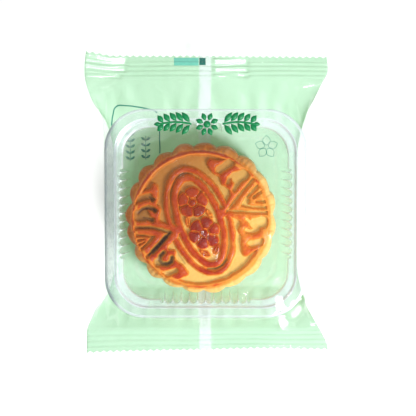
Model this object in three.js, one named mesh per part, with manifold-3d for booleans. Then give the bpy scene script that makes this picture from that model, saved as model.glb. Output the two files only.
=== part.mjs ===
// A mooncake in its clear tray, sealed in a film pillow pack that lies flat, in millimetres.
// X runs across the pack, Y along it and Z up. The origin is under the middle of the pack.
// The film is drawn tight over the tray and the cake, so both show in it as low relief.

import * as THREE from 'three';
import { mergeVertices } from 'three/addons/utils/BufferGeometryUtils.js';
import Module from 'manifold-3d';

// Farthest reach of the pack from its middle, across and along
const PACK_HALF_WIDTH = 52.8;
const PACK_HALF_LENGTH = 65.1;

// Side edges of the flattened film sleeve, as [y, x] from the lower end to the upper end
const LEFT_EDGE = [
  [-65.1, -52.3], [-55.2, -52.3], [-45.2, -48.0], [-41.5, -44.8], [-36.0, -43.9], [27.0, -43.9],
  [35.7, -45.2], [43.9, -49.6], [48.7, -51.4], [54.0, -52.8], [59.0, -52.6], [65.1, -51.5],
];
const RIGHT_EDGE = [
  [-65.1, 53.1], [-61.0, 52.5], [-45.6, 43.5], [-38.0, 42.6], [30.0, 42.6], [37.9, 43.4],
  [42.2, 45.0], [47.4, 47.6], [53.0, 50.2], [54.8, 51.8], [59.5, 51.9], [65.1, 51.0],
];

// Cut ends of the sleeve, as [x, y] from left to right, and the teeth of the pinked cut
const UPPER_END = [[-52.8, 65.5], [-49.0, 65.0], [-41.0, 63.5], [0.0, 63.4], [52.8, 63.0]];
const LOWER_END = [[-52.8, -65.1], [-20.0, -64.3], [0.0, -63.9], [23.0, -63.1], [52.8, -63.8]];
const TOOTH_PITCH = 2.9;
const TOOTH_DEPTH = 0.9;
const TEETH_CUT = 38;
const CUTTER_REACH = 80;
const CUTTER_HALF_WIDTH = 60;
const CUTTER_HEIGHT = 40;
const CUTTER_BOTTOM = -5;

// End seals: where each starts, their height above the table, and their crimped ridges
const UPPER_SEAL = 53.2;
const LOWER_SEAL = -55.2;
const SEAL_HEIGHT = 9.5;
const SEAL_THICKNESS = 0.9;
const RIDGE_PITCH = 2.0;
const RIDGE_COUNT = 4;
const RIDGE_RISE = 0.4;
const END_SPARE = 2.5;

// How far each corner of the pack curls up, as [side in x, side in y, lift]
const CORNER_LIFTS = [[-1, 1, 3.2], [1, 1, 1.2], [-1, -1, 1.6], [1, -1, 0.8]];
const CURL_START_X = 26;
const CURL_START_Y = 44;

// Tray under the film: its flange, and the part of the sleeve that lies flat on the table
const TRAY_X = -0.65;
const FLANGE_HALF_WIDTH = 43.05;
const FLANGE_TOP_Y = 40.6;
const FLANGE_BOTTOM_Y = -48.9;
const FLANGE_RADIUS = 17;
const FLANGE_WIDTH = 4.5;
const FLANGE_EDGE = 0.6;
const FLANGE_HEIGHT = 20;
const FLANGE_RELIEF = 0.3;
const FLOOR_TOP_Y = 30;
const FLOOR_BOTTOM_Y = -38;

// Fin seal down the middle of the underside, set off by a shallow groove on either side
const FIN_X = -0.9;
const FIN_HALF_WIDTH = 2.6;
const FIN_GROOVE = 0.8;
const FIN_GROOVE_DEPTH = 0.3;

// Cake pressed against the film from below, with its ornament turned to the left
const CAKE_CENTRE = [-2.7, -6.8];
const CAKE_RADIUS = 31;
const CAKE_FLUTES = 20;
const CAKE_FLUTE_DEPTH = 0.95;
const CAKE_RELIEF = 0.9;
const CAKE_SHOULDER = 0.5;
const CAKE_TURN = THREE.MathUtils.degToRad(20);
const RIM = { outer: [28.9, 28.9], inner: [27.2, 27.2] };
const OVAL_CENTRE = [-0.6, -0.7];
const OVALS = [
  { outer: [13.2, 23.9], inner: [11.4, 22.1] },
  { outer: [10.1, 21.1], inner: [7.8, 18.8] },
];

// Raised field on each side of the ovals: the waves of its inner edge from end to end, and the
// V-shaped grooves cut into it, each from one arm's end round its corner to the other arm's end
const FIELD_REACH = 28;
const FIELDS = [
  {
    edge: [
      [15.2, 23.4], [11.4, 20.6], [13.9, 13.0], [16.2, 7.4], [10.8, 1.2], [10.8, -2.6],
      [15.6, -6.8], [13.9, -13.0], [12.2, -19.6], [15.2, -23.4],
    ],
    grooves: [[[29, 9.8], [12, -0.4], [29, -7.5]], [[29, 5.9], [19.2, -0.2], [29, -5.1]]],
  },
  {
    edge: [
      [-15.4, -23.2], [-13.2, -19.0], [-16.1, -12.4], [-17.6, -7.0], [-10.8, -3.0], [-10.8, 1.0],
      [-17.2, 6.2], [-14.6, 13.4], [-12.8, 19.6], [-15.4, 23.2],
    ],
    grooves: [[[-29, 6.7], [-14.2, -0.8], [-28.4, -8.2]], [[-29, 3.3], [-21.6, -0.1], [-29, -3.6]]],
  },
];
const GROOVE_WIDTH = 1.1;
const ORNAMENT_RELIEF = 0.5;
const CUT_SPARE = 1;
const ROOT_DEPTH = 3;
const FLUTE_STEPS = 6;
const ROUND_STEPS = 48;
const FIELD_EDGE_STEPS = 27;
const FIELD_ARC_STEPS = 10;
const SHOULDER_STEPS = 2;
const FLANGE_ARC_STEPS = 6;

// Columns across the upper sheet, from the middle to the flange, then out to the sleeve's edge
const UPPER_COLUMNS = [6, 13, 20, 26, 29.5, 32.7, 35.6, 38.2, 40.3, 41.9, FLANGE_HALF_WIDTH];

// Columns of the lower sheet: those on its flat, then x in the body, share of the width at the
// seals, and share of the way up to the sleeve's edge
const FLAT_COLUMNS = [12, 24, 33];
const SIDE_COLUMNS = [
  [38.2, 0.80, 0], [39.2, 0.86, 0.03], [39.7, 0.91, 0.12], [39.9, 0.95, 0.4], [40.3, 0.98, 0.65],
];

// Stations along the body: on the slopes to the seals, on the straight, and round the corners
const SLOPE_STATIONS = [-52, FLOOR_BOTTOM_Y, FLOOR_TOP_Y, 44.5, 49];
const STRAIGHT_STATIONS = [-10, 12];
const CORNER_SHARES = [0, 0.2, 0.45, 0.7, 0.88, 1];

// Value at t of the straight-sided line through [t, value] points
function follow(points, t) {
  const last = points.length - 1;
  const i = Math.max(1, points.findIndex((p, k) => k === last || t <= p[0]));
  const [[t0, v0], [t1, v1]] = [points[i - 1], points[i]];
  return v0 + ((v1 - v0) * (t - t0)) / (t1 - t0);
}

function clamp01(t) {
  return THREE.MathUtils.clamp(t, 0, 1);
}

// 0 where the film still lies against the tray at y, rising to 1 at the seal
function towardsSeal(y, upperStart, lowerStart) {
  return y > 0
    ? clamp01((y - upperStart) / (UPPER_SEAL - upperStart))
    : clamp01((lowerStart - y) / (lowerStart - LOWER_SEAL));
}

// How far the flange's rounded corner draws its end edge back at x
function cornerSetback(x) {
  const intoCorner = Math.abs(x - TRAY_X) - (FLANGE_HALF_WIDTH - FLANGE_RADIUS);
  const run = Math.min(FLANGE_RADIUS, Math.max(0, intoCorner));
  return FLANGE_RADIUS - Math.sqrt(FLANGE_RADIUS ** 2 - run ** 2);
}

// Corners of the sealed ends curl up as the square of the way out to them
function cornerLift(x, y) {
  return CORNER_LIFTS.reduce((sum, [sideX, sideY, lift]) => {
    const alongX = clamp01((sideX * x - CURL_START_X) / (PACK_HALF_WIDTH - CURL_START_X));
    const alongY = clamp01((sideY * y - CURL_START_Y) / (PACK_HALF_LENGTH - CURL_START_Y));
    return sum + lift * alongX ** 2 * alongY;
  }, 0);
}

// Height of the crimped ridges: a triangle wave that starts at the seal's inner edge
function ridgeRise(y) {
  const into = y > 0 ? y - UPPER_SEAL : LOWER_SEAL - y;
  if (into <= 0 || into >= RIDGE_PITCH * RIDGE_COUNT) return 0;
  const phase = (into / RIDGE_PITCH) % 1;
  return RIDGE_RISE * (1 - Math.abs(2 * phase - 1)) * 2 - RIDGE_RISE;
}

// The upper sheet is level over the flange and runs straight down from its edge to the seal
function upperHeight(x, y) {
  const setback = cornerSetback(x);
  const down = towardsSeal(y, FLANGE_TOP_Y - setback, FLANGE_BOTTOM_Y + setback);
  const sealTop = SEAL_HEIGHT + SEAL_THICKNESS / 2;
  return FLANGE_HEIGHT + (sealTop - FLANGE_HEIGHT) * down + ridgeRise(y) + cornerLift(x, y);
}

// Upper sheet's points at station y, from its left edge to its right edge
function upperRow(y) {
  const left = follow(LEFT_EDGE, y);
  const right = follow(RIGHT_EDGE, y);
  const inner = UPPER_COLUMNS.map((x) => TRAY_X + x);
  const mirrored = UPPER_COLUMNS.map((x) => TRAY_X - x).reverse();
  return [left, ...mirrored, TRAY_X, ...inner, right].map((x) => [x, y, upperHeight(x, y)]);
}

// Lower sheet's points at station y: flat on the table, up the sides, and one with the seals
function lowerRow(y) {
  const gather = towardsSeal(y, FLOOR_TOP_Y, FLOOR_BOTTOM_Y);
  const floor = (SEAL_HEIGHT - SEAL_THICKNESS / 2) * gather;
  const side = (sign) => {
    const edge = follow(sign < 0 ? LEFT_EDGE : RIGHT_EDGE, y);
    const edgeHeight = upperHeight(edge, y) - SEAL_THICKNESS - ridgeRise(y) - cornerLift(edge, y);
    const fin = [0, FIN_GROOVE / 2, FIN_GROOVE].map((step, k) => [
      FIN_X + sign * (FIN_HALF_WIDTH + step), floor + (k === 1 ? FIN_GROOVE_DEPTH : 0),
    ]);
    const flat = FLAT_COLUMNS.map((x) => [TRAY_X + sign * x, floor]);
    const rise = SIDE_COLUMNS.map(([bodyX, sealShare, up]) => {
      const inBody = TRAY_X + sign * bodyX;
      const x = inBody + (sealShare * edge - inBody) * gather;
      return [x, floor + (edgeHeight - floor) * up];
    });
    return [...fin, ...flat, ...rise, [edge, edgeHeight]];
  };
  const points = [...side(-1).reverse(), [FIN_X, floor], ...side(1)];
  return points.map(([x, z]) => [x, y, z + ridgeRise(y) + cornerLift(x, y)]);
}

// Stations along Y: each ridge's foot and crest, the slopes, the flange's corners and the body
function stations() {
  const seal = (start, sign) => {
    const ridges = Array.from({ length: RIDGE_COUNT * 2 + 1 }, (_, k) => k * RIDGE_PITCH / 2);
    const end = PACK_HALF_LENGTH + END_SPARE;
    return [...ridges.map((step) => start + sign * step), sign * end];
  };
  const setbacks = CORNER_SHARES.map((share) => FLANGE_RADIUS * (1 - Math.sqrt(1 - share ** 2)));
  const corners = setbacks.flatMap((setback) => [FLANGE_BOTTOM_Y + setback, FLANGE_TOP_Y - setback]);
  const body = [...SLOPE_STATIONS, ...STRAIGHT_STATIONS, ...corners];
  return [...seal(LOWER_SEAL, -1), ...body, ...seal(UPPER_SEAL, 1)].sort((a, b) => a - b);
}

// Closed solid between the two sheets: one loop of points a station, joined up, and both ends shut
function sleeveGeometry() {
  const loops = stations().map((y) => [...upperRow(y), ...lowerRow(y).reverse()]);
  const size = loops[0].length;
  const faces = [];
  for (let row = 0; row + 1 < loops.length; row += 1) {
    for (let i = 0; i < size; i += 1) {
      const [a, b] = [row * size + i, row * size + ((i + 1) % size)];
      faces.push(a, b, b + size, a, b + size, a + size);
    }
  }
  const last = (loops.length - 1) * size;
  for (let i = 0; i + 1 < size / 2; i += 1) {
    const [a, b, c, d] = [i, i + 1, size - 2 - i, size - 1 - i];
    faces.push(a, c, b, a, d, c);
    faces.push(last + a, last + b, last + c, last + a, last + c, last + d);
  }
  const geometry = new THREE.BufferGeometry();
  geometry.setAttribute('position', new THREE.Float32BufferAttribute(loops.flat(2), 3));
  geometry.setIndex(faces);
  return geometry;
}

// Block that takes off what lies past a cut end, with teeth along the cut
function cutterGeometry(end, sign) {
  const cut = Array.from({ length: 2 * TEETH_CUT + 1 }, (_, k) => {
    const x = (k - TEETH_CUT) * (TOOTH_PITCH / 2);
    const y = follow(end, THREE.MathUtils.clamp(x, -PACK_HALF_WIDTH, PACK_HALF_WIDTH));
    return new THREE.Vector2(x, y - (k % 2 ? sign * TOOTH_DEPTH : 0));
  });
  const corners = [1, -1].map((side) => {
    return new THREE.Vector2(side * CUTTER_HALF_WIDTH, sign * CUTTER_REACH);
  });
  const shape = new THREE.Shape([...cut, ...corners]);
  const geometry = new THREE.ExtrudeGeometry(shape, { depth: CUTTER_HEIGHT, bevelEnabled: false });
  return geometry.translate(0, 0, CUTTER_BOTTOM);
}

// Outline with rounded corners, inset from the flange's outer edge
function flangeOutline(inset) {
  const radius = FLANGE_RADIUS - inset;
  const x = FLANGE_HALF_WIDTH - inset - radius;
  const top = FLANGE_TOP_Y - inset - radius;
  const bottom = FLANGE_BOTTOM_Y + inset + radius;
  const outline = new THREE.Path();
  outline.absarc(TRAY_X + x, top, radius, 0, Math.PI / 2);
  outline.absarc(TRAY_X - x, top, radius, Math.PI / 2, Math.PI);
  outline.absarc(TRAY_X - x, bottom, radius, Math.PI, 1.5 * Math.PI);
  outline.absarc(TRAY_X + x, bottom, radius, 1.5 * Math.PI, 2 * Math.PI);
  return outline.getPoints(FLANGE_ARC_STEPS);
}

// Raised shape with an optional hole, standing on the film by its rise and rooted below it
function raised(outline, holes, rise, bevel = 0) {
  const shape = new THREE.Shape(outline);
  shape.holes = holes.map((points) => new THREE.Path(points));
  const depth = ROOT_DEPTH + rise - bevel;
  const geometry = new THREE.ExtrudeGeometry(shape, {
    depth, bevelEnabled: bevel > 0, bevelThickness: bevel, bevelSize: bevel, bevelOffset: -bevel,
    bevelSegments: SHOULDER_STEPS,
  });
  return geometry.translate(0, 0, FLANGE_HEIGHT - ROOT_DEPTH);
}

function ellipse([rx, ry], [cx, cy] = [0, 0]) {
  return new THREE.EllipseCurve(cx, cy, rx, ry).getPoints(ROUND_STEPS).slice(0, -1);
}

// Cake's outline: round lobes that meet in narrow dips
function flutedOutline() {
  const count = CAKE_FLUTES * FLUTE_STEPS;
  return Array.from({ length: count }, (_, k) => {
    const angle = (k / count) * 2 * Math.PI;
    const lobe = Math.abs(Math.sin((angle * CAKE_FLUTES) / 2));
    const radius = CAKE_RADIUS + CAKE_FLUTE_DEPTH * (2 * lobe - 1);
    return new THREE.Vector2(radius * Math.cos(angle), radius * Math.sin(angle));
  });
}

// Field's outline: its wavy inner edge, then back along an arc under the cake's rim
function fieldOutline(edge) {
  const points = edge.map(([x, y]) => new THREE.Vector2(x, y));
  const inner = new THREE.SplineCurve(points).getPoints(FIELD_EDGE_STEPS);
  const [start, end] = [points[points.length - 1].angle(), points[0].angle()];
  const arc = new THREE.EllipseCurve(0, 0, FIELD_REACH, FIELD_REACH, start, end, false);
  return [...inner, ...arc.getPoints(FIELD_ARC_STEPS).slice(1, -1)];
}

// Bent bar of even width, from one arm's end round its corner to the other arm's end
function grooveOutline([first, corner, second]) {
  const [a, b, c] = [first, corner, second].map(([x, y]) => new THREE.Vector2(x, y));
  const normal = (from, to) => {
    const along = to.clone().sub(from).normalize();
    return new THREE.Vector2(-along.y, along.x);
  };
  const [n1, n2] = [normal(a, b), normal(b, c)];
  const bisector = n1.clone().add(n2).normalize();
  const mitre = bisector.multiplyScalar(GROOVE_WIDTH / 2 / bisector.dot(n1));
  const offset = (point, by, sign) => point.clone().addScaledVector(by, sign);
  const half = GROOVE_WIDTH / 2;
  return [
    offset(a, n1, half), offset(b, mitre, 1), offset(c, n2, half),
    offset(c, n2, -half), offset(b, mitre, -1), offset(a, n1, -half),
  ];
}

const wasm = await Module();
wasm.setup();

// Solid of a closed geometry, from its positions alone
function solidOf(geometry) {
  const bare = geometry.clone();
  bare.deleteAttribute('normal');
  bare.deleteAttribute('uv');
  const merged = mergeVertices(bare, 1e-4);
  return new wasm.Manifold(new wasm.Mesh({
    numProp: 3,
    vertProperties: new Float32Array(merged.attributes.position.array),
    triVerts: new Uint32Array(merged.index.array),
  }));
}

function geometryOf(solid) {
  const { vertProperties, triVerts } = solid.getMesh();
  const geometry = new THREE.BufferGeometry();
  geometry.setAttribute('position', new THREE.BufferAttribute(vertProperties, 3));
  geometry.setIndex(new THREE.BufferAttribute(triVerts, 1));
  geometry.computeVertexNormals();
  return geometry;
}

// Cake and its ornament as they press up under the film
function cakeSolids() {
  const top = CAKE_RELIEF + ORNAMENT_RELIEF;
  const placed = (relief) => solidOf(relief.rotateZ(CAKE_TURN).translate(...CAKE_CENTRE, 0));
  const band = ({ outer, inner }, centre) => {
    return placed(raised(ellipse(outer, centre), [ellipse(inner, centre)], top));
  };
  const fields = FIELDS.map(({ edge, grooves }) => {
    const cuts = grooves.map((groove) => placed(raised(grooveOutline(groove), [], top + CUT_SPARE)));
    return cuts.reduce((field, cut) => field.subtract(cut), placed(raised(fieldOutline(edge), [], top)));
  });
  return [
    placed(raised(flutedOutline(), [], CAKE_RELIEF, CAKE_SHOULDER)),
    band(RIM, [0, 0]),
    ...OVALS.map((oval) => band(oval, OVAL_CENTRE)),
    ...fields,
  ];
}

function wrapperGeometry() {
  const flange = raised(flangeOutline(FLANGE_EDGE), [flangeOutline(FLANGE_WIDTH)], FLANGE_RELIEF);
  let solid = solidOf(sleeveGeometry()).add(solidOf(flange));
  for (const relief of cakeSolids()) solid = solid.add(relief);
  solid = solid.subtract(solidOf(cutterGeometry(UPPER_END, 1)));
  solid = solid.subtract(solidOf(cutterGeometry(LOWER_END, -1)));
  return geometryOf(solid);
}

const film = new THREE.MeshStandardMaterial({ color: 0xbfe8cc, roughness: 0.2, metalness: 0 });
const wrapper = new THREE.Mesh(wrapperGeometry(), film);
wrapper.name = 'wrapper';

const group = new THREE.Group();
group.name = 'wrapped_mooncake';
group.add(wrapper);

export default group;
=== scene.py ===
import math

import bpy
import numpy as np
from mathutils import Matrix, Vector


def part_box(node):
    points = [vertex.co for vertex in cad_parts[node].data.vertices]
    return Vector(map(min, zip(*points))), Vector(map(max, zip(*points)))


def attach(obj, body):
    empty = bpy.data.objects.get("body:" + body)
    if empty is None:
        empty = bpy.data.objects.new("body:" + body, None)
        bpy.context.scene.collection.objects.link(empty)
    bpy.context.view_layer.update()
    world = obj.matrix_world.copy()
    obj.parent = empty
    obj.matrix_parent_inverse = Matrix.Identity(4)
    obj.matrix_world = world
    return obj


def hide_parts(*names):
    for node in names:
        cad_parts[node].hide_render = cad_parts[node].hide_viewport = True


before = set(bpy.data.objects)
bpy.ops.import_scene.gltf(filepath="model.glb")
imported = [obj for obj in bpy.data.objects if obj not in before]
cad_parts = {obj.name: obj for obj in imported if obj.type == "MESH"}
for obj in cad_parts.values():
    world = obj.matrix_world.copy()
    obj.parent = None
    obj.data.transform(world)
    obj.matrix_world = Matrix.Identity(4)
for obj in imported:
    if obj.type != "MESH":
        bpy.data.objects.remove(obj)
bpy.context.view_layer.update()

bl_info = {
    "name": "Wrapped Mooncake",
    "version": (1, 0, 0),
    "blender": (4, 5, 0),
    "location": "3D View > Sidebar > Mooncake",
    "description": "Builds a baked mooncake in a clear tray, sealed in a printed film pack",
    "category": "Add Mesh",
}

# Every size below is in millimetres. X runs across the pack, Y along it and Z up.
MM = 0.001
BODY = "root"
NODE = "wrapper"

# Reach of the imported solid
LOW, HIGH = (np.array(corner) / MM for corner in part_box(NODE))
HALF_WIDTH = (HIGH[0] - LOW[0]) / 2
HALF_LENGTH = (HIGH[1] - LOW[1]) / 2

# Side edges of the film sleeve, as (y, x), and its cut ends, as (x, y)
LEFT_EDGE = (
    (-65.1, -52.3), (-55.2, -52.3), (-45.2, -48), (-41.5, -44.8), (-36, -43.9), (27, -43.9),
    (35.7, -45.2), (43.9, -49.6), (48.7, -51.4), (54, -52.6), (59, -52.5), (65.1, -51.5),
)
RIGHT_EDGE = (
    (-65.1, 52.8), (-61, 52.3), (-45.6, 43.5), (-38, 42.6), (30, 42.6), (37.9, 43.4),
    (42.2, 45), (47.4, 47.6), (53, 50.2), (54.8, 51.8), (59.5, 51.9), (65.1, 51),
)
UPPER_END = ((-52.8, 65.4), (-49, 64.9), (-41, 63.5), (0, 63.4), (52.8, 63))
LOWER_END = ((-52.8, -65.7), (-20, -65), (0, -64.7), (23, -64), (52.8, -64.5))
END_SPAN = (-63.9, 63.4)

# End seals
UPPER_SEAL = 53.2
LOWER_SEAL = -55.2
SEAL_HEIGHT = 9.5
RIDGE_PITCH = 2.0
RIDGE_COUNT = 4
RIDGE_RISE = 0.17
TEETH = 36
TOOTH_DEPTH = 0.9
CORNER_LIFTS = ((-1, 1, 3.4), (1, 1, 1.2), (-1, -1, 1.6), (1, -1, 0.8))
CURL_START = (26.0, 44.0)
FILM_WALL = 0.08
LAYER_GAP = 0.1
FILM_CLEARANCE = 0.34
OVER_CAKE = 0.28
TOP_SHARE = 1 - 12 / (4 * TEETH)
FOOT_SHARE = 0.8
HALVINGS = 24

# Tray
TRAY_X = -0.65
FLANGE_HALF_WIDTH = 43.05
FLANGE_TOP_Y = 40.6
FLANGE_BOTTOM_Y = -48.9
FLANGE_RADIUS = 17.0
FLANGE_HEIGHT = 20.0
TRAY_CENTRE = (TRAY_X, (FLANGE_TOP_Y + FLANGE_BOTTOM_Y) / 2)
TRAY_HALF = (FLANGE_HALF_WIDTH, (FLANGE_TOP_Y - FLANGE_BOTTOM_Y) / 2)
TRAY_WALL = 0.3
FIN_WALL = 0.1
INK_WALL = 0.02
TRAY_FLOOR = 0.9
CORNER_GROWTH = 0.35
FLUTE_PITCH = 3.52
FLUTE_REACH = 1.65
FLUTE_PANEL = 19.4

# Lower half of the sleeve
FLOOR_TOP_Y = 30.0
FLOOR_BOTTOM_Y = -38.0
FLOOR_HALF_WIDTH = 38.2
SEAM_HALF_WIDTH = 40.0
SEAM_HEIGHT = 4.0
SEAM_START = (20.0, -28.0)
FIN_X = -0.9
FIN_HALF_WIDTH = 2.6
FIN_DROP = 0.13
WAFFLE_PITCH = 0.9
WAFFLE_RISE = 0.035

# Cake
CAKE_CENTRE = (-2.6, -6.3)
FACE_SHIFT = (-0.1, -0.35)
CAKE_BOTTOM = 1.3
CAKE_TOP = 20.4
FACE_RADIUS = 29.7
SIDE_RADIUS = 32.7
FLUTES = 20
FLUTE_DEPTH = 1.65
RELIEF = 2.0
RELIEF_SLOPE = 0.85
CROWN = 0.55
# How far the grooves that get painted shade are sunk further
SHADE_GROOVE_DEPTH = 0.6
RIM_RADIUS = 28.7
RIM_HALF_WIDTH = 1.15
DOME = 0.5
RIM_FALL = 0.75
CAKE_TURN = 20.0
# Reach across the cake of the painted shade and bake difference between its upper left and lower right
LIT_SIDE_REACH = 34.0


def smooth(t):
    """Smooth step: 3 t squared less 2 t cubed, with t held between 0 and 1."""
    t = np.clip(t, 0.0, 1.0)
    return t * t * (3 - 2 * t)


def follow(points, t, rounding=0.0):
    """Value at t on the straight-sided line through (t, value) points, its corners averaged out."""
    known = np.array(points)
    shifts = rounding * np.linspace(-1, 1, 5)
    return sum(np.interp(t + shift, known[:, 0], known[:, 1]) for shift in shifts) / len(shifts)


def ripples(x, y, length, seed, waves=7):
    """Smooth random field about -1 to 1: the sum of sine waves of like length in seeded directions."""
    draw = np.random.default_rng(seed)
    turns = draw.uniform(0, 2 * np.pi, waves)
    phases = draw.uniform(0, 2 * np.pi, waves)
    pitches = 2 * np.pi / (length * draw.uniform(0.65, 1.5, waves))
    field = 0
    for turn, phase, pitch in zip(turns, phases, pitches):
        field = field + np.sin((x * math.cos(turn) + y * math.sin(turn)) * pitch + phase)
    return field / math.sqrt(waves)


def grid_faces(rows, columns, ring=False):
    """Quads between neighbours of a point grid. A ring also joins its last column to its first."""
    span = columns if ring else columns - 1
    i, j = np.meshgrid(np.arange(rows - 1), np.arange(span), indexing="ij")
    a = i * columns + j
    b = i * columns + (j + 1) % columns
    return np.stack([a, b, b + columns, a + columns], axis=-1).reshape(-1, 4)


def fan_faces(centre, first, count, upward=True):
    """Triangles from one point to each pair of neighbours in a closed ring of points."""
    a = first + np.arange(count)
    b = first + (np.arange(count) + 1) % count
    middle = np.full(count, centre)
    return np.stack([middle, a, b] if upward else [middle, b, a], axis=-1)


class Value:
    """A number socket of a finish. Arithmetic on it adds Math nodes."""

    def __init__(self, finish, socket):
        self.finish = finish
        self.socket = socket

    def math(self, operation, first, second, clamp=False):
        settings = {"operation": operation, "use_clamp": clamp}
        return self.finish.add("ShaderNodeMath", 0, {0: first, 1: second}, settings)

    def held(self):
        return self.math("ADD", self, 0.0, clamp=True)


def arithmetic(operation, swapped=False):
    """Operator method for Value that adds one kind of Math node."""
    def method(value, other):
        return value.math(operation, *((other, value) if swapped else (value, other)))
    return method


for sign, operation in (("add", "ADD"), ("sub", "SUBTRACT"), ("mul", "MULTIPLY"), ("pow", "POWER")):
    setattr(Value, f"__{sign}__", arithmetic(operation))
    setattr(Value, f"__r{sign}__", arithmetic(operation, swapped=True))


class Finish:
    """A material under construction."""

    def __init__(self, name):
        self.material = bpy.data.materials.new(name)
        self.material.use_nodes = True
        self.tree = self.material.node_tree
        self.tree.nodes.clear()

    def add(self, kind, out, inputs=None, settings=None, stops=()):
        """Makes any node, with its settings, ramp stops and inputs, and gives one of its outputs."""
        node = self.tree.nodes.new(kind)
        for key, value in (settings or {}).items():
            setattr(node, key, value)
        for k, (place, colour) in enumerate(stops):
            elements = node.color_ramp.elements
            element = elements[k] if k < len(elements) else elements.new(place)
            element.position = place
            element.color = (*colour, 1.0)
        for key, value in (inputs or {}).items():
            if isinstance(value, Value):
                self.tree.links.new(value.socket, node.inputs[key])
            else:
                node.inputs[key].default_value = value
        return None if out is None else Value(self, node.outputs[out])

    def attribute(self, name):
        return self.add("ShaderNodeAttribute", "Fac", settings={"attribute_name": name})

    def facing(self, blend):
        return self.add("ShaderNodeLayerWeight", "Facing", {"Blend": blend})

    def noise(self, scale, detail=3.0, roughness=0.5, stretch=(1, 1, 1)):
        """Noise on object coordinates, as a value from 0 to 1. The scale counts lumps in a metre."""
        place = self.add("ShaderNodeTexCoord", "Object")
        sized = self.add("ShaderNodeMapping", 0, {"Vector": place, "Scale": stretch})
        wanted = {"Vector": sized, "Scale": scale, "Detail": detail, "Roughness": roughness}
        return self.add("ShaderNodeTexNoise", "Fac", wanted)

    def ramp(self, value, stops):
        return self.add("ShaderNodeValToRGB", "Color", {"Fac": value}, stops=stops)

    def mix(self, share, first, second):
        return self.add("ShaderNodeMix", 2, {0: share, 6: first, 7: second}, {"data_type": "RGBA"})

    def remap(self, value, low, high, new_low, new_high):
        wanted = {"Value": value, 1: low, 2: high, 3: new_low, 4: new_high}
        return self.add("ShaderNodeMapRange", 0, wanted, {"interpolation_type": "SMOOTHSTEP"})

    def bump(self, height, depth, strength=1.0):
        wanted = {"Height": height, "Distance": depth, "Strength": strength}
        return self.add("ShaderNodeBump", "Normal", wanted)

    def close(self, inputs):
        """Ends the material in one Principled surface."""
        surface = self.add("ShaderNodeBsdfPrincipled", "BSDF", inputs)
        self.add("ShaderNodeOutputMaterial", None, {"Surface": surface})
        return self.material


def srgb(red, green, blue):
    """Linear colour of an sRGB colour given in 0 to 255."""
    shares = np.array([red, green, blue]) / 255
    linear = np.where(shares <= 0.04045, shares / 12.92, ((shares + 0.055) / 1.055) ** 2.4)
    return tuple(float(v) for v in linear)


def opaque(colour):
    return (*colour[:3], 1.0)


def make_piece(name, points, faces, material, attributes=None, wall=0.0, offset=-1.0,
               shadow=False):
    """Mesh object from points in millimetres and face arrays, riding on the pack's one body. A wall
    makes a sheet a closed shell. Clear plastic and print this thin cast next to no shadow."""
    mesh = bpy.data.meshes.new(name)
    polygons = [face for block in faces for face in block.tolist()]
    mesh.from_pydata((points.reshape(-1, 3) * MM).tolist(), [], polygons)
    for key, values in (attributes or {}).items():
        data = mesh.attributes.new(key, "FLOAT", "POINT").data
        data.foreach_set("value", np.ascontiguousarray(values, dtype=np.float32).reshape(-1))
    mesh.polygons.foreach_set("use_smooth", np.ones(len(mesh.polygons), dtype=bool))
    if mesh.validate():
        raise RuntimeError(f"{name} has faces that had to be mended")
    mesh.update()
    mesh.materials.append(material)
    piece = bpy.data.objects.new(name, mesh)
    bpy.context.scene.collection.objects.link(piece)
    piece.visible_shadow = shadow
    if wall:
        sides = piece.modifiers.new("wall", "SOLIDIFY")
        sides.thickness = wall
        sides.offset = offset
    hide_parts(NODE)
    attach(piece, BODY)


# Film sleeve

def towards_seal(y, upper_start, lower_start):
    """0 where the film lies against the tray at y, rising evenly to 1 at the seal."""
    upper = (y - upper_start) / (UPPER_SEAL - upper_start)
    lower = (lower_start - y) / (lower_start - LOWER_SEAL)
    return np.clip(np.where(y > 0, upper, lower), 0.0, 1.0)


def corner_setback(x):
    """How far the flange's round corner draws its end edge back at x: a quarter circle's rise."""
    run = np.clip(np.abs(x - TRAY_X) - (FLANGE_HALF_WIDTH - FLANGE_RADIUS), 0, FLANGE_RADIUS)
    return FLANGE_RADIUS - np.sqrt(FLANGE_RADIUS**2 - run**2)


def corner_lift(x, y):
    """Curl of the pack's corners: the square of the way out across times the way out along."""
    lift = 0
    for side_x, side_y, height in CORNER_LIFTS:
        across = np.clip((side_x * x - CURL_START[0]) / (HALF_WIDTH - CURL_START[0]), 0, 1)
        along = np.clip((side_y * y - CURL_START[1]) / (HALF_LENGTH - CURL_START[1]), 0, 1)
        lift = lift + height * across**2 * along
    return lift


def ridge_rise(x, y):
    """Crimped ridges: a cosine along the seal, a little out of true across the pack."""
    into = np.where(y > 0, y - UPPER_SEAL, LOWER_SEAL - y) + 0.12 * np.sin(x / 7.0)
    inside = smooth(into / 0.5) * smooth((RIDGE_PITCH * RIDGE_COUNT - into) / 0.6)
    return -RIDGE_RISE * np.cos(2 * np.pi * into / RIDGE_PITCH) * inside


def seal_wave(x, y):
    """Slow buckling of the seals' free ends, growing towards the cut."""
    free = np.clip((np.abs(y) - 50) / 14, 0, 1)
    return free * 0.3 * (np.sin(x / 9.5 + np.sign(y)) + 0.3 * np.sin(x / 4.1 + 2))


def crease(x, y, start, end, width):
    """Tent-shaped fold along a line: 1 on the line, 0 a width away, fading at both ends."""
    (x0, y0), (x1, y1) = start, end
    length = math.hypot(x1 - x0, y1 - y0)
    along = ((x - x0) * (x1 - x0) + (y - y0) * (y1 - y0)) / length
    away = np.abs((x - x0) * (y1 - y0) - (y - y0) * (x1 - x0)) / length
    fade = smooth((along + width) / (2 * width)) * smooth((length + width - along) / (2 * width))
    return np.clip(1 - away / width, 0, 1) * fade


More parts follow.
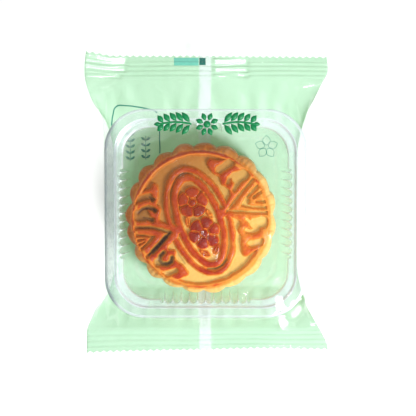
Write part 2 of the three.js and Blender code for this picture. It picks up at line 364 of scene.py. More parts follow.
CREASES = (
    ((50.5, 53), (38, 49.8), 1.3, 0.9),
    ((38, 49.8), (41.2, 31), 1.6, -0.7),
    ((-51, 49), (-44, 31), 1.8, -0.8),
    ((-51.5, -54.5), (-39, -47), 1.6, 0.6),
    ((-39, -47), (-42.5, -36), 1.6, -0.5),
)

# Patches of fine crinkles where the film touches the cake: middle and half sizes
CRINKLES = (((1, -17), (7.5, 6.5)), ((23, -8), (5.4, 9)), ((-11.6, 15.4), (2.6, 4.6)))

# Flat facets in the film between tray and seals, which catch the lamp: start, end, half width,
# height in the middle and the slopes along X and Y
FACETS = (
    ((30.8, -40.4), (31.8, -45.6), 2.7, 20.5, -0.048, 0.036),
    ((32.6, -49.4), (33, -53.2), 2.8, 15, -0.046, 0.024),
    ((36.2, -42.2), (41.4, -40.8), 1.4, 20.2, -0.039, 0.038),
    ((39.8, -44.6), (37.2, -48.4), 2.2, 18.2, -0.038, 0.032),
    ((-47, 48.8), (-38, 51.4), 1.3, 12, -0.108, 0.105),
    ((40.2, 50), (49.6, 53), 0.5, 12, -0.05, 0.14),
)
FACET_BLUR = 0.9

# Tilted areas of the seals, where the crimps are crushed: middle, half sizes, height in the middle
# and the slopes along X and Y
TILTS = (
    ((10.2, 60.4), (8.2, 2.1), 0.1, -0.079, 0.178),
    ((10.2, 57.1), (8.2, 1.7), 0.1, -0.079, 0.174),
    ((10.2, 54.6), (8.2, 1.3), 0.1, -0.079, 0.170),
    ((-43.4, 60.9), (9.8, 2.3), 1.15, -0.152, 0.180),
    ((-43.8, 57.4), (9.6, 1.8), 0.95, -0.152, 0.176),
    ((-44.6, 54.5), (8, 1.5), 0.80, -0.152, 0.172),
)
TILT_BLUR = 1.0
CRUSHED = 0.88


def drawn_to_plane(z, share, x, y, plane):
    """Height drawn by a share towards a plane, given by its height and slopes at x and y of 0."""
    height, slope_x, slope_y = plane
    return z + (height + slope_x * x + slope_y * y - z) * share


def crinkled(x, y):
    """How crinkled the film is: 1 in the middle of each patch, falling off as a bell."""
    return sum(np.exp(-(((x - cx) / half_x) ** 2 + ((y - cy) / half_y) ** 2) * 1.5)
               for (cx, cy), (half_x, half_y) in CRINKLES)


def seal_relief(x, y):
    """Crimps, buckling and curl of the seals. A tilted area, faded out at its border, is a plane with
    its crimps crushed."""
    relief, crimps = seal_wave(x, y) + corner_lift(x, y), ridge_rise(x, y)
    for (cx, cy), (half_x, half_y), *plane in TILTS:
        inside = smooth((half_x - np.abs(x - cx)) / TILT_BLUR)
        inside = inside * smooth((half_y - np.abs(y - cy)) / TILT_BLUR)
        relief = drawn_to_plane(relief, inside, x - cx, y - cy, plane)
        crimps = crimps * (1 - CRUSHED * inside)
    return relief + crimps


def film_top(x, y):
    """Upper film: level over the flange, up a little over the cake, straight down to the seals."""
    setback = corner_setback(x)
    down = towards_seal(y, FLANGE_TOP_Y - setback, FLANGE_BOTTOM_Y + setback)
    seal = SEAL_HEIGHT + LAYER_GAP
    from_cake = np.hypot(x - CAKE_CENTRE[0], y - CAKE_CENTRE[1])
    over_cake = OVER_CAKE * smooth((46 - from_cake) / 18)
    slack = 0.08 * ripples(x, y, 21, 3) + 0.018 * ripples(x, y, 6.5, 5)
    gathers = 4 * down * (1 - down) * (0.45 * ripples(x * 1.5, y * 0.3, 9, 8))
    level = FLANGE_HEIGHT + FILM_CLEARANCE + (over_cake + slack) * (1 - down)
    folds = sum(height * crease(x, y, a, b, width) for a, b, width, height in CREASES)
    z = level + (seal - level) * down + gathers + folds * smooth(down * 6)
    for start, end, half, *plane in FACETS:
        mid_x, mid_y = (start[0] + end[0]) / 2, (start[1] + end[1]) / 2
        inside = smooth(0.5 - bar_away(x, y, start, end, half) / FACET_BLUR)
        z = drawn_to_plane(z, inside, x - mid_x, y - mid_y, plane)
    return z


def sleeve_edge(side, y):
    """Outline of the sleeve on the given side, -1 for left and 1 for right."""
    return np.where(side < 0, follow(LEFT_EDGE, y, 1.6), follow(RIGHT_EDGE, y, 1.6))


def seam_line(side, y):
    """Where clear and printed film meet: on the tray's side, then out to the edge at the seals."""
    closing = smooth(1.4 * towards_seal(y, *SEAM_START))
    start = TRAY_X + side * SEAM_HALF_WIDTH
    x = start + (sleeve_edge(side, y) - start) * closing
    return x, SEAM_HEIGHT + (SEAL_HEIGHT - SEAM_HEIGHT) * closing


def finish_ends(share, x, row, z):
    """Point with the seals' ridges, buckling and curl added, carried out to the toothed ends."""
    y = to_cut_end(share, x, row)
    return np.stack([x, y, z + seal_relief(x, row)], axis=-1)


def sheet(point, columns=4 * TEETH + 1):
    """Grid of points over one half of the sleeve."""
    return point(*np.meshgrid(np.linspace(-1, 1, columns), sleeve_rows()))


def lie_on(point, x, y, lift):
    """Points on a sheet at given x and y, raised a little. Halving finds the share that gives x."""
    low, high = -np.ones_like(x), np.ones_like(x)
    for _ in range(HALVINGS):
        middle = (low + high) / 2
        short = point(middle, y)[..., 0] < x
        low, high = np.where(short, middle, low), np.where(short, high, middle)
    return point((low + high) / 2, y) + np.array([0, 0, lift])


def sleeve_rows():
    """Stations along the sleeve: close together over the seals, wider along the body."""
    lower = np.linspace(END_SPAN[0], LOWER_SEAL, 34)
    upper = np.linspace(UPPER_SEAL, END_SPAN[1], 40)
    body = np.linspace(LOWER_SEAL, UPPER_SEAL, 132)[1:-1]
    return np.concatenate([lower, body, upper])


def to_cut_end(share, x, y):
    """Stretches the seals to the cut ends and draws the last rows back into teeth."""
    tooth = TOOTH_DEPTH * (1 - np.abs((share * TEETH / 2) % 1 - 0.5) * 2)
    upper = (y - UPPER_SEAL) / (END_SPAN[1] - UPPER_SEAL)
    lower = (LOWER_SEAL - y) / (LOWER_SEAL - END_SPAN[0])
    to_top = UPPER_SEAL + (follow(UPPER_END, x) - UPPER_SEAL) * upper
    to_bottom = LOWER_SEAL + (follow(LOWER_END, x) - LOWER_SEAL) * lower
    cut_top = tooth * smooth((upper - 0.86) / 0.14)
    cut_bottom = tooth * smooth((lower - 0.83) / 0.17)
    return np.where(upper > 0, to_top - cut_top, np.where(lower > 0, to_bottom + cut_bottom, y))


def clear_point(share, row):
    """Point of the sleeve's clear half. Share runs across it: over the top, then down each side."""
    side = np.where(share < 0, -1.0, 1.0)
    down_side = np.clip((np.abs(share) - TOP_SHARE) / (1 - TOP_SHARE), 0, 1)
    gather = towards_seal(row, FLANGE_TOP_Y - FLANGE_RADIUS, FLANGE_BOTTOM_Y + FLANGE_RADIUS)
    brow = sleeve_edge(side, row) * (1 - (1 - TOP_SHARE) * gather**2)
    seam_x, seam_z = seam_line(side, row)
    x = np.minimum(np.abs(share) / TOP_SHARE, 1) * brow
    z = film_top(x, row)
    x = x + (seam_x - brow) * down_side
    z = z + (seam_z + LAYER_GAP * gather - z) * down_side
    return finish_ends(share, x, row, z)


def sleeve_floor(x, y):
    """Height of the lower film between its feet: on the table, over the fin, up to the seals."""
    gather = towards_seal(y, FLOOR_TOP_Y, FLOOR_BOTTOM_Y)
    over_fin = 0.26 * smooth((FIN_HALF_WIDTH + 1.6 - np.abs(x - FIN_X)) / 1.5)
    folds = 4 * gather * (1 - gather) * 0.5 * ripples(x * 1.4, y * 0.35, 10, 21)
    rest = 0.06 + over_fin
    return rest + (SEAL_HEIGHT - LAYER_GAP - rest) * gather + folds


def printed_point(share, row):
    """Point of the sleeve's printed half. Share runs across it: along the table, then up each side."""
    side = np.where(share < 0, -1.0, 1.0)
    up_side = np.clip((np.abs(share) - FOOT_SHARE) / (1 - FOOT_SHARE), 0, 1)
    gather = towards_seal(row, FLOOR_TOP_Y, FLOOR_BOTTOM_Y)
    in_body = TRAY_X + side * FLOOR_HALF_WIDTH
    foot = in_body + (FOOT_SHARE * sleeve_edge(side, row) - in_body) * gather
    seam_x, seam_z = seam_line(side, row)
    x = np.minimum(np.abs(share) / FOOT_SHARE, 1) * foot
    z = sleeve_floor(x, row)
    x = x + (seam_x - foot) * (1 - (1 - up_side) ** (3 - 2 * gather))
    z = z + (seam_z - LAYER_GAP * gather - z) * up_side ** (1.5 - 0.5 * gather)
    return finish_ends(share, x, row, z)


def fin_strip(columns=15, rows=420):
    """Fin seal folded flat under the sleeve, with the fine waffle of its sealing wheels."""
    across, y = np.meshgrid(np.linspace(-1, 1, columns), np.linspace(*END_SPAN, rows))
    x = FIN_X + FIN_HALF_WIDTH * across + 0.12 * np.sin(y / 17)
    wheel = 2 * np.pi / WAFFLE_PITCH
    waffle = WAFFLE_RISE * np.sin(wheel * x) * np.sin(wheel * y)
    z = sleeve_floor(x, y) - FIN_DROP + waffle + seal_relief(x, y)
    return np.stack([x, to_cut_end(np.zeros_like(x), x, y), z], axis=-1)


# Tray

def tray_outline():
    """One lap of the tray: for each column its place on the corner centres and its outward turn."""
    straight = np.linspace(-1, 1, 180)
    bend = np.linspace(0, np.pi / 2, 16)[1:-1]
    one = np.ones_like(straight)
    parts = []
    for quarter in range(4):
        turn = quarter * np.pi / 2
        cos, sin = round(math.cos(turn)), round(math.sin(turn))
        parts.append((cos * one - sin * straight, sin * one + cos * straight,
                      cos * one, sin * one, straight))
        corner = np.ones_like(bend)
        parts.append((corner * (cos - sin), corner * (sin + cos),
                      np.cos(turn + bend), np.sin(turn + bend), np.full_like(bend, np.nan)))
    return [np.concatenate(column) for column in zip(*parts)]


# Rows down the tray: how far in from the flange's edge, the height, how white the plastic is, partly
# frost and partly painted highlight on the bends, and the share of the flutes' depth
TRAY_PROFILE = (
    (0, 18.8, 0.20, 0), (0, 19.6, 0.45, 0), (0.2, 19.95, 0.5, 0), (0.9, 20, 0.34, 0),
    (1.3, 20, 0.13, 0), (3.9, 20, 0.14, 0), (4.2, 19.97, 0.55, 0), (4.6, 19.7, 0.66, 0),
    (4.85, 19.1, 0.62, 0), (5.1, 18.75, 0.34, 0), (6, 18.7, 0.26, 0), (7.3, 18.65, 0.24, 0.76),
    (7.6, 18.5, 0.5, 0.9), (7.85, 18.1, 0.5, 0.98), (8.05, 17.3, 0.2, 1), (8.35, 16, 0.12, 0.98),
    (8.8, 14, 0.09, 0.92), (9.25, 12, 0.07, 0.86), (9.7, 10, 0.06, 0.8), (10.15, 8, 0.05, 0.74),
    (10.6, 6, 0.04, 0.68), (11.05, 4.2, 0.04, 0.6), (11.5, 2.8, 0.05, 0.5), (12, 1.9, 0.08, 0.36),
    (12.6, 1.35, 0.09, 0.2), (13.3, 1.05, 0.07, 0.08), (14.2, 0.95, 0.03, 0), (16, TRAY_FLOOR, 0.02, 0),
)


def tray_sheet():
    """Tray as rings: each ring is the flange's outline drawn in by a depth, its corners opening out.
    The flutes bulge out of each wall as arcs, one less the square of the way from an arc's middle,
    and the plastic is whitest on the cusps between them, a painted highlight."""
    along_x, along_y, out_x, out_y, straight = tray_outline()
    inset, height, frost, fluted = (np.array(values)[:, None] for values in zip(*TRAY_PROFILE))
    reach = FLANGE_RADIUS + CORNER_GROWTH * inset
    half_x, half_y = TRAY_HALF
    upright = np.abs(out_x) > 0.5
    length = np.where(upright, half_y - reach, half_x - reach)
    place = np.nan_to_num(straight, nan=2.0) * length
    panel = smooth((FLUTE_PANEL - np.abs(place)) / 0.8) * ~np.isnan(straight)
    across = 2 * np.abs((place / FLUTE_PITCH) % 1 - 0.5)
    radius = reach - inset + FLUTE_REACH * fluted * panel * (1 - across**2)
    x = TRAY_CENTRE[0] + along_x * (half_x - reach) + out_x * radius
    y = TRAY_CENTRE[1] + along_y * (half_y - reach) + out_y * radius
    # Painted highlight: white lines on the cusps between the flutes
    cusp = smooth((across - 0.72) / 0.28) * panel * smooth((height - 3) / 12) * (fluted > 0)
    flutes = 0.12 * panel * (fluted > 0.5) * smooth((height - 6) / 10)
    frost_and_sheen_rows = frost * (1 + 0.5 * np.isnan(straight)) * (1 - 0.45 * panel * (fluted > 0.5))
    return np.stack([x, y, height + 0 * x], axis=-1), frost_and_sheen_rows + flutes + 0.36 * cusp


def tray_floor_rings(edge):
    """Rings that close the tray's floor, each the last ring shrunk about the tray's middle."""
    middle = np.array([*TRAY_CENTRE, TRAY_FLOOR])
    shares = np.array([0.8, 0.55, 0.3, 0.1])[:, None, None]
    return middle + (edge[None] - middle) * shares


# Cake

def ellipse_away(x, y, centre, half_x, half_y):
    """Signed distance from an ellipse, from its implicit function over that function's slope."""
    u, v = (x - centre[0]) / half_x, (y - centre[1]) / half_y
    value = np.hypot(u, v)
    slope = np.hypot(u / half_x, v / half_y) / np.maximum(value, 1e-6)
    return (value - 1) / np.maximum(slope, 1e-6)


def bar_away(x, y, start, end, half):
    """Signed distance from a round-ended bar."""
    (x0, y0), (x1, y1) = start, end
    run_x, run_y = x1 - x0, y1 - y0
    share = np.clip(((x - x0) * run_x + (y - y0) * run_y) / (run_x**2 + run_y**2), 0, 1)
    return np.hypot(x - x0 - share * run_x, y - y0 - share * run_y) - half


def path_away(x, y, numbers, half):
    """Signed distance from a bar that follows several points, given as their x and y in a row."""
    points = list(zip(numbers[::2], numbers[1::2]))
    return join(*[bar_away(x, y, a, b, half) for a, b in zip(points, points[1:])])


def polygon_away(x, y, corners, rounding):
    """Signed distance from a polygon with rounded corners: nearest side, negative inside it."""
    nearest = np.full(np.shape(x), 1e9)
    inside = np.zeros(np.shape(x), dtype=bool)
    for (x0, y0), (x1, y1) in zip(corners, corners[1:] + corners[:1]):
        nearest = np.minimum(nearest, bar_away(x, y, (x0, y0), (x1, y1), 0.0))
        crosses = (y0 > y) != (y1 > y)
        inside ^= crosses & (x < x0 + (y - y0) * (x1 - x0) / (y1 - y0 + 1e-12))
    return np.where(inside, -nearest, nearest) - rounding


def join(*distances):
    return np.minimum.reduce(distances)


def cut(shape, *holes):
    return np.maximum.reduce([shape, *[-hole for hole in holes]])


def rounded(corners, rounds=2):
    """Corners of a closed outline cut off at a quarter of each side, time and again."""
    points = np.array(corners, dtype=float)
    for _ in range(rounds):
        after = np.roll(points, -1, axis=0)
        points = np.stack([0.75 * points + 0.25 * after, 0.25 * points + 0.75 * after], axis=1)
        points = points.reshape(-1, 2)
    return [tuple(point) for point in points]


# Places on the moulded top, from the middle of its rim, with the oval upright
OVAL_CENTRE = (-0.6, -0.7)
RIGHT_PLATEAU = (
    (12.2, 22.6), (10.7, 21.6), (10.9, 19), (11.9, 16.8), (13.7, 15), (13.9, 12.6), (13.7, 10.8),
    (15, 9.4), (16.3, 7.6), (15.4, 5.2), (13.2, 3.4), (10.5, 1.4), (10.5, -2.6), (13.6, -4),
    (15.6, -5.8), (15.5, -7.9), (13.8, -9.4), (13.6, -11), (14.3, -13.2), (12.9, -15.2),
    (12.2, -18), (11.6, -20.6), (13, -21.8), (15.6, -20.5), (21.5, -20.4), (27, -12),
    (29, 0), (27, 12), (21.5, 20.4), (15.2, 20.8), (13.4, 22.4),
)
LEFT_PLATEAU = (
    (-13.2, 21.2), (-12.6, 19.6), (-13.2, 16.8), (-14.4, 14.2), (-16, 12.6), (-14.6, 11),
    (-14.6, 9.8), (-15.9, 8.4), (-17.3, 6), (-16.2, 4.3), (-13.2, 2.6), (-10.8, 1.2),
    (-10.8, -3.4), (-14, -4.6), (-17.4, -5.6), (-17.6, -8), (-14.6, -9), (-16.1, -11),
    (-16.1, -13.8), (-14.2, -15.2), (-13.4, -17.6), (-12.8, -20.8), (-14.8, -20.4), (-20.6, -21.2),
    (-27, -12), (-29, 0), (-27, 12), (-20.6, 19.6), (-15.2, 19.3), (-14.2, 20.8),
)
# Straight bars, scrolls and grooves cut into the plateaus, and lines of painted shade at the feet of
# the oval's ridges. Each row is a half width, its share of painted shade, and the x and y of its points
RIGHT_CUTS = (
    (1.95, 0, 14.9, 17.3, 20, 18.2),
    (1.6, 0, 16.6, -17.2, 20.8, -17.8),
    (1.05, 0, 16.6, 10.8, 17.5, 12.6, 19.9, 13.5, 23, 13),
    (2.6, 0, 20.9, 11.2, 23.6, 11.6),
    (1.1, 0, 17.9, 7.1, 19.6, 8.8, 22, 9.9),
    (1, 0, 18.7, -6.8, 19.6, -8.6, 22, -9.4),
    (2.7, 0, 21.4, -9.8, 24.2, -10),
    (1.1, 0, 17.1, -11.3, 18.6, -12.3, 21.4, -12.3),
    (0.75, 0, 28.5, 9.5, 19, 4.2, 12, -0.4),
    (0.65, 0, 12, -0.4, 20, -3.7, 28.6, -7.3),
    (0.75, 0, 29.2, 6, 21.6, 2, 19.2, -0.2),
    (0.62, 0, 19.2, -0.2, 23, -2.6, 29.2, -5.2),
    (1.1, 0, 20.6, -0.2, 21.4, 0.9),
    (0.5, 0, 24.6, 1.3, 29.4, 2.7),
    (0.5, 0, 25, -0.7, 29.4, -2.5),
)
LEFT_CUTS = (
    (1.45, 0.25, -23.6, 17.2, -19.6, 17, -17.2, 16.7),
    (0.9, 0.7, -17.2, 16.8, -16.3, 15),
    (1.3, 0.3, -23.2, -16.6, -20.4, -17, -17.8, -17),
    (2.6, 0.3, -24.2, 10.5, -22.2, 10.1),
    (1, 0.85, -24.6, 11.6, -21.8, 12.7, -19.2, 12.4, -17.6, 11.4, -16.9, 10.2),
    (1, 0.65, -22.6, 9.3, -20.8, 8.2, -19.5, 6.9),
    (1.15, 0.85, -19.9, -7.9, -21.6, -8.8, -22.7, -10.3, -22, -12.1, -19.8, -13.1, -17.9, -12.6,
     -17.2, -11.2),
    (1.5, 0.3, -23.6, -10.4, -23.6, -11.4),
    (0.75, 0.65, -28.8, 6.6, -21, 3.9, -17.2, 1.7, -14.2, -0.8),
    (0.8, 1, -14.3, -0.8, -18, -2.9, -22, -4.9, -27.2, -7.2),
    (1.25, 0.95, -16.4, -1.9, -20, -3.9, -24, -5.9),
    (0.55, 0.2, -28.8, 3.2, -24, 1.2, -21.6, -0.1),
    (0.55, 0.2, -21.6, -0.1, -24.4, -1.6, -28.8, -3.5),
    (0.4, 0, -25.6, 0.3, -29.4, 0.8),
    (0.4, 0, -25.8, -0.9, -29.4, -1.4),
)
SHADE_LINES = (
    (0.6, 0.7, -11.7, 3, -11.3, 8, -10.1, 13, -8.2, 17),
    (0.6, 0.6, -5.8, 20.4, -2.6, 21.4, 0.8, 21.3, 3.4, 19.9),
    (0.5, 0.45, 6, 16.6, 8, 12.2, 9, 8.2, 9.5, 4.6),
    (0.65, 0.75, -4.4, -20.9, -1, -21.9, 2.4, -21.5, 4.8, -19.9),
    (0.6, 0.6, -14.3, -7, -13.9, -11, -12.8, -15.2),
    (0.4, 0.4, -3.4, -25.8, 0.6, -26.2, 5, -25.9),
)


def oval_frame(x, y):
    """Medallion frame: a flat oval ridge split by a narrow groove that the plateaus bridge."""
    outer = np.abs(ellipse_away(x, y, OVAL_CENTRE, 12.5, 23.2)) - 1.1
    inner = np.abs(ellipse_away(x, y, OVAL_CENTRE, 8.75, 19.5)) - 1.3
    bridge = bar_away(x, y, (-13.2, -0.9), (12.0, -0.4), 1.9)
    outside = -ellipse_away(x, y, OVAL_CENTRE, 8.7, 19.5)
    return join(outer, inner, np.maximum(bridge, outside))


def ornament(x, y, outline, cuts):
    """Side ornament: a plateau with a wavy inner edge, and scrolls, bars and a V cut into it."""
    plateau = polygon_away(x, y, rounded(outline), 0.15)
    return plateau, join(*[path_away(x, y, path, half) for half, _, *path in cuts])


def painted_groove_shade(x, y):
    """Painted shade: the share of each left groove and shade line, on the side away from the lamp,
    fading out from its middle line towards the wall that the lamp reaches."""
    shade = 0
    for half, share, *path in (*LEFT_CUTS, *SHADE_LINES):
        away = path_away(x + 0.12, y + 0.22, path, half)
        shade = np.maximum(shade, share * smooth(0.12 - away / 1.1))
    return shade


def blossom(x, y, centre, radius, petals):
    """Flower of broad petals: its radius swells with the absolute cosine of half the petal angle."""
    u, v = x - centre[0], y - centre[1]
    away, turn = np.hypot(u, v), np.arctan2(v, u)
    lobe = np.abs(np.cos(petals * turn / 2))
    edge = away - radius * (0.76 + 0.24 * lobe**0.5)
    gap = np.minimum(np.abs(((turn * petals / np.pi - 1) / 2) % 1 - 0.5), 0.5)
    between = (0.5 - gap) * 2 * np.pi / petals * away - 0.24
    ring = np.abs(away - 1.8) - 0.26
    return cut(edge, np.maximum(between, 1.8 - away), ring)


def leaf_away(x, y, centre, turn, length, width):
    """Pointed leaf: the overlap of two circles, with a groove for its midrib."""
    u = (x - centre[0]) * math.cos(turn) + (y - centre[1]) * math.sin(turn)
    v = (y - centre[1]) * math.cos(turn) - (x - centre[0]) * math.sin(turn)
    radius = (length**2 + width**2) / (4 * width)
    shift = radius - width / 2
    body = np.maximum(np.hypot(u, v - shift), np.hypot(u, v + shift)) - radius
    return cut(body, np.maximum(np.abs(v) - 0.22, np.abs(u) - length * 0.36))


def medallion(x, y):
    """Middle of the oval: two blossoms one above the other, with leaves beside and beyond them."""
    cx = OVAL_CENTRE[0]
    parts = [blossom(x, y, (cx - 0.1, 7.9), 6.6, 5), blossom(x, y, (cx + 0.2, -6.1), 6.9, 6)]
    for side in (1, -1):
        parts.append(leaf_away(x, y, (cx + side * 4.9, 1.0), math.pi / 2 + side * 0.25, 4.6, 1.9))
        parts.append(leaf_away(x, y, (cx + side * 2.6, -14.4), math.pi / 2 - side * 0.75, 5.0, 2.3))
    return join(*parts)


def turned(x, y, degrees):
    """Coordinates in a frame turned counter-clockwise by an angle."""
    cos, sin = math.cos(math.radians(degrees)), math.sin(math.radians(degrees))
    return x * cos + y * sin, y * cos - x * sin


def cake_relief(x, y):
    """Moulded top: signed distance from the nearest edge of a ridge, negative on the ridges, and the
    painted shade in its grooves and along the oval's ridges."""
    away = np.hypot(x, y)
    rim = np.abs(away - RIM_RADIUS) - RIM_HALF_WIDTH
    right, right_cuts = ornament(x, y, RIGHT_PLATEAU, RIGHT_CUTS)
    left, left_cuts = ornament(x, y, LEFT_PLATEAU, LEFT_CUTS)
    raised = join(rim, oval_frame(x, y), medallion(x, y), right, left)
    holes = np.maximum(join(right_cuts, left_cuts), away - 28.6)
    nearest = cut(raised, holes)
    # Painted shade in the left grooves and along the oval's ridges
    pooled = painted_groove_shade(x, y) * smooth((28.0 - away) / 1.4)
    return nearest + 0.13 * ripples(x, y, 5.5, 41) + 0.06 * ripples(x, y, 1.9, 42), pooled


def lobes(turn):
    """Flutes round the side: circular arcs between narrow dips, 0 in a dip and 1 on a crest. Their
    spacing drifts a little round the cake."""
    page = turn + math.radians(CAKE_TURN)
    drift = math.radians(2.2) * np.sin(page - math.radians(40))
    across = ((page - drift - math.radians(13)) * FLUTES / (2 * np.pi) + 0.5) % 1
    return 1 - (2 * across - 1) ** 2


# Rows down the side: the share of the way from the rim out to the full side, and the height
CAKE_PROFILE = (
    (0.06, 19.75), (0.16, 19.45), (0.3, 19.05), (0.46, 18.5), (0.62, 17.75), (0.76, 16.8),
    (0.87, 15.6), (0.95, 14.1), (1, 12.2), (1, 10), (0.99, 7.6), (0.97, 5.4), (0.93, 3.6),
    (0.84, 2.4), (0.66, 1.7), (0.3, 1.4), (-1, CAKE_BOTTOM), (-4, CAKE_BOTTOM),
)


def cake_surface(rings=114, segments=660):
    """Cake in its own upright frame. Rings on top carry the relief. Those below run from the rim to
    the fluted side by the profile's shares."""
    turn = np.linspace(0, 2 * np.pi, segments, endpoint=False)[None, :]
    cos, sin = np.cos(turn), np.sin(turn)
    radius = np.linspace(0.2, FACE_RADIUS, rings)[:, None]
    shift_x, shift_y = turned(*FACE_SHIFT, CAKE_TURN)
    x, y = radius * cos, radius * sin
    nearest, pooled = cake_relief(x, y)
    level = smooth(0.5 - nearest / RELIEF_SLOPE)
    crown = CROWN * np.exp(np.minimum(nearest, 0) / 1.3)
    dome = DOME * (radius / FACE_RADIUS) ** 2
    lumps = 0.12 * ripples(x, y, 8, 43) + 0.03 * ripples(x, y, 2.0, 47)
    fall = RIM_FALL * smooth((radius - 28.4) / 1.5)
    z = CAKE_TOP - dome - RELIEF * (1 - level) - crown + lumps - fall - SHADE_GROOVE_DEPTH * pooled
    top = np.stack([x + shift_x, y + shift_y, z], axis=-1)
    share, height = (np.array(values)[:, None] for values in zip(*CAKE_PROFILE))
    page = turn + math.radians(CAKE_TURN)
    depth = FLUTE_DEPTH + 0.55 * np.cos(page - math.radians(160))
    uneven = 0.35 * ripples(30 * cos, 30 * sin, 15, 51)
    bulge = 0.10 * ripples(turn * 30, height, 5, 53)
    reach = SIDE_RADIUS - depth * (1 - lobes(turn)) + uneven + bulge
    middle = np.hypot(x - OVAL_CENTRE[0], (y - OVAL_CENTRE[1]) / 2)
    near_ridge = smooth(0.54 - nearest / 1.5)
    deepest = np.exp(-((middle / 7.5) ** 2))
    # Partly painted light: the crust is browned less towards the lower right, where the lamp is, along
    # with a paler bake there
    paler_lamp_side = smooth((0.85 * x - 0.45 * y - 4) / 18)
    browned = near_ridge * (0.78 + 0.24 * deepest - 0.2 * paler_lamp_side) - 0.1 * crown
    on_rim = level * smooth((radius - 27.0) / 0.9)
    crest = smooth((radius - 27.9) / 1.0) * (0.65 + 0.35 * np.sin(turn + 0.4))
    browned = browned + on_rim * (0.38 * crest - 0.3) - 0.3 * pooled
    edge_x, edge_y = FACE_RADIUS * cos + shift_x, FACE_RADIUS * sin + shift_y
    side_x = edge_x + (reach * cos - edge_x) * share
    side_y = edge_y + (reach * sin - edge_y) * share
    lift = (top[-1, :, 2] - CAKE_PROFILE[0][1] - 0.1)[None, :] * smooth((height - 15) / 4.5)
    side = np.stack([side_x, side_y, height + lift + 0 * side_x], axis=-1)
    levels = np.concatenate([browned, browned[-1:] * (1 - np.clip(share, 0, 1))])
    off_top = np.broadcast_to(1 - smooth(share / 0.4), side_x.shape)
    on_top = np.concatenate([np.ones_like(level), off_top])
    groove_shades = np.concatenate([pooled, np.zeros_like(side_x)])
    return np.concatenate([top, side]), levels, on_top, groove_shades


def place_cake(points):
    """Turns the cake's upright frame and moves it to its place in the tray."""
    x, y = turned(points[..., 0], points[..., 1], -CAKE_TURN)
    return np.stack([x + CAKE_CENTRE[0], y + CAKE_CENTRE[1], points[..., 2]], axis=-1)


# Print

def leaf_points(centre, turn, length, width, steps=8):
    """Outline of a pointed leaf: two arcs of a sine between its tips."""
    along = np.linspace(-1, 1, steps)
    across = np.cos(along * np.pi / 2)
    u = np.concatenate([along, along[-2:0:-1]]) * length / 2
    v = np.concatenate([across, -across[-2:0:-1]]) * width / 2
    x = centre[0] + u * math.cos(turn) - v * math.sin(turn)
    y = centre[1] + u * math.sin(turn) + v * math.cos(turn)
    return np.stack([x, y], axis=-1)[::-1]


def disc_points(centre, radius, steps=20):
    turn = np.linspace(0, 2 * np.pi, steps, endpoint=False)
    return np.stack([centre[0] + radius * np.cos(turn), centre[1] + radius * np.sin(turn)], axis=-1)


def ribbon_points(path, width):
    """Strip of even width along a path, as a grid of its right side and its left side."""
    path = np.array(path, dtype=float)
    along = np.gradient(path, axis=0)
    along /= np.linalg.norm(along, axis=1)[:, None]
    aside = np.stack([-along[:, 1], along[:, 0]], axis=-1) * width / 2
    return np.stack([path - aside, path + aside])


def laid_shapes(outlines, grids, lay):
    """Points and faces of ink shapes, each point laid on a sheet by a function of x and y."""
    points, faces, start = [], [], 0
    for outline in outlines:
        points.append(np.concatenate([outline.mean(axis=0)[None], outline]))
        faces.append(fan_faces(start, start + 1, len(outline)))
        start += len(outline) + 1
    for grid in grids:
        points.append(grid.reshape(-1, 2))
        faces.append(grid_faces(*grid.shape[:2]) + start)
        start += grid.shape[0] * grid.shape[1]
    flat = np.concatenate(points)
    return lay(flat[:, 0], flat[:, 1]), faces


def block_shapes(x0, x1, y0, columns, y1=62.4, rows=20):
    """Block of ink in the upper seal: one grid, fine enough to follow the seal's ridges."""
    x, y = np.meshgrid(np.linspace(x0, x1, columns), np.linspace(y0, y1, rows))
    return [], [np.stack([x, y], axis=-1)]


def resampled(path, step=0.8):
    """Path with points added, so that no two are more than a step apart."""
    path = np.array(path, dtype=float)
    run = np.append(0, np.cumsum(np.hypot(*np.diff(path, axis=0).T)))
    places = np.linspace(0, run[-1], int(run[-1] / step) + 2)
    return np.column_stack([np.interp(places, run, path[:, k]) for k in (0, 1)])


MARK_CENTRE = (0.0, 34.1)
FRONT_LIFT = 0.04
BACK_LIFT = 0.14


def mark_shapes():
    """Generic front mark: a leafy sprig on either side of a blossom."""
    cx, cy = MARK_CENTRE
    outlines = [disc_points((cx, cy), 1.5)]
    for k in range(8):
        turn = (k + 0.5) * math.pi / 4
        centre = (cx + 3.4 * math.cos(turn), cy + 3.4 * math.sin(turn))
        outlines.append(leaf_points(centre, turn, 3.5, 2.2))
    stems = []
    for side in (-1, 1):
        along = np.linspace(6.6, 20.6, 24)
        stem = np.column_stack([cx + side * along, cy + 0.9 * np.sin((along - 6) / 4.6)])
        stems.append(ribbon_points(stem[:: side], 0.9))
        for k, reach in enumerate(np.linspace(7.6, 18.4, 5)):
            lift = cy + 0.9 * math.sin((reach - 6) / 4.6)
            for up in (1, -1):
                turn = side * up * 0.9 if side > 0 else math.pi + side * up * 0.9
                size = 5.5 - 0.4 * k
                centre = (cx + side * (reach + 1.4), lift + up * (0.5 * size - 0.1))
                outlines.append(leaf_points(centre, turn, size, 2.4))
        outlines.append(leaf_points((cx + side * 21.0, cy), 0, 3.2, 1.9))
    return outlines, stems


